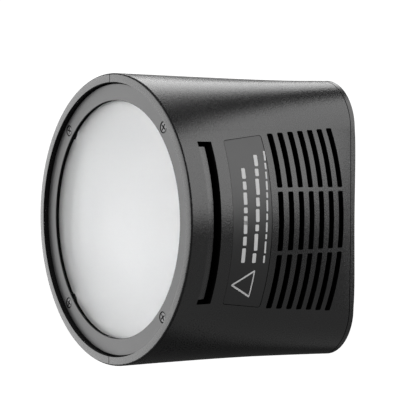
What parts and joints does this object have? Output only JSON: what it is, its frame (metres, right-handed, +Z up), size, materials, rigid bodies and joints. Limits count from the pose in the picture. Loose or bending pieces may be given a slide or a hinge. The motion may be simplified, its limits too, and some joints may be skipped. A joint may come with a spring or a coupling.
{
  "type": "round strobe flash head",
  "caption": "Round strobe flash head with a frosted front glass in a recessed bezel, vented tapering housing, and a rectangular rear face with contact pins and sprung latch hooks.",
  "frame": {"origin": "centre of the rear mounting face", "axes": "+Y out of the rear face towards the battery body, so the glass looks along -Y; +Z up along the tall side of the rear face; +X to the labelled side"},
  "size_m": [0.0758, 0.071, 0.076],
  "materials": {
    "housing_plastic": "fine spark texture",
    "bezel_plastic": "smooth satin",
    "inner_plastic": "satin",
    "latch_plastic": "satin, glass filled",
    "label_film": "satin printed film",
    "black_steel": "black oxide",
    "zinc_steel": "zinc plated",
    "spring_steel": "drawn wire",
    "frosted_glass": "frosted",
    "quartz_glass": "clear",
    "clear_plastic": "clear",
    "silicone": "soft",
    "nickel_plate": "nickel plated",
    "bright_aluminium": "bright",
    "white_ceramic": "fired",
    "white_board": "solder mask",
    "green_board": "solder mask",
    "led_phosphor": "phosphor",
    "brass_posts": "turned",
    "gold_contact": "gold plated",
    "capacitor_film": "dipped",
    "red_lead": "silicone sleeve",
    "black_lead": "silicone sleeve",
    "white_lead": "silicone sleeve"
  },
  "bodies": {
    "head": {"housing_shell_right": "housing_plastic", "housing_shell_left": "housing_plastic", "rear_plate": "housing_plastic", "bezel_ring": "bezel_plastic", "front_carrier": "inner_plastic", "connector_block": "inner_plastic", "latch_guide_upper": "inner_plastic", "latch_guide_lower": "inner_plastic", "label_plate": "label_film", "bezel_screws": "black_steel", "rear_plate_screws": "black_steel", "connector_screws": "black_steel", "reflector_screws": "zinc_steel", "front_glass": "frosted_glass", "glass_gasket": "silicone", "accessory_magnets": "nickel_plate", "reflector": "bright_aluminium", "flash_tube": "quartz_glass", "tube_electrodes": "nickel_plate", "tube_holders": "white_ceramic", "trigger_wire": "nickel_plate", "led_window": "clear_plastic", "modelling_led_board": "white_board", "modelling_leds": "led_phosphor", "led_heatsink": "bright_aluminium", "heat_shield": "bright_aluminium", "thermal_switch": "nickel_plate", "shield_posts": "brass_posts", "board_posts": "brass_posts", "trigger_board": "green_board", "trigger_transformer": "inner_plastic", "trigger_capacitor": "capacitor_film", "board_resistors": "capacitor_film", "anode_lead": "red_lead", "cathode_lead": "black_lead", "trigger_lead": "white_lead", "led_lead": "white_lead", "power_pins": "gold_contact", "signal_pins": "gold_contact", "latch_spring_upper": "spring_steel", "latch_spring_lower": "spring_steel"},
    "latch_upper": {"latch_upper": "latch_plastic"},
    "latch_lower": {"latch_lower": "latch_plastic"}
  },
  "joints": [
    {"name": "latch_upper_slide", "type": "slide", "parent": "head", "child": "latch_upper", "axis": [0, 0, -1], "range_m": [0, 0.002], "stiffness_N_per_m": 600, "springref_m": -0.002, "deforming": ["latch_spring_upper"]},
    {"name": "latch_lower_slide", "type": "slide", "parent": "head", "child": "latch_lower", "axis": [0, 0, 1], "range_m": [0, 0.002], "stiffness_N_per_m": 600, "springref_m": -0.002, "deforming": ["latch_spring_lower"]}
  ]
}
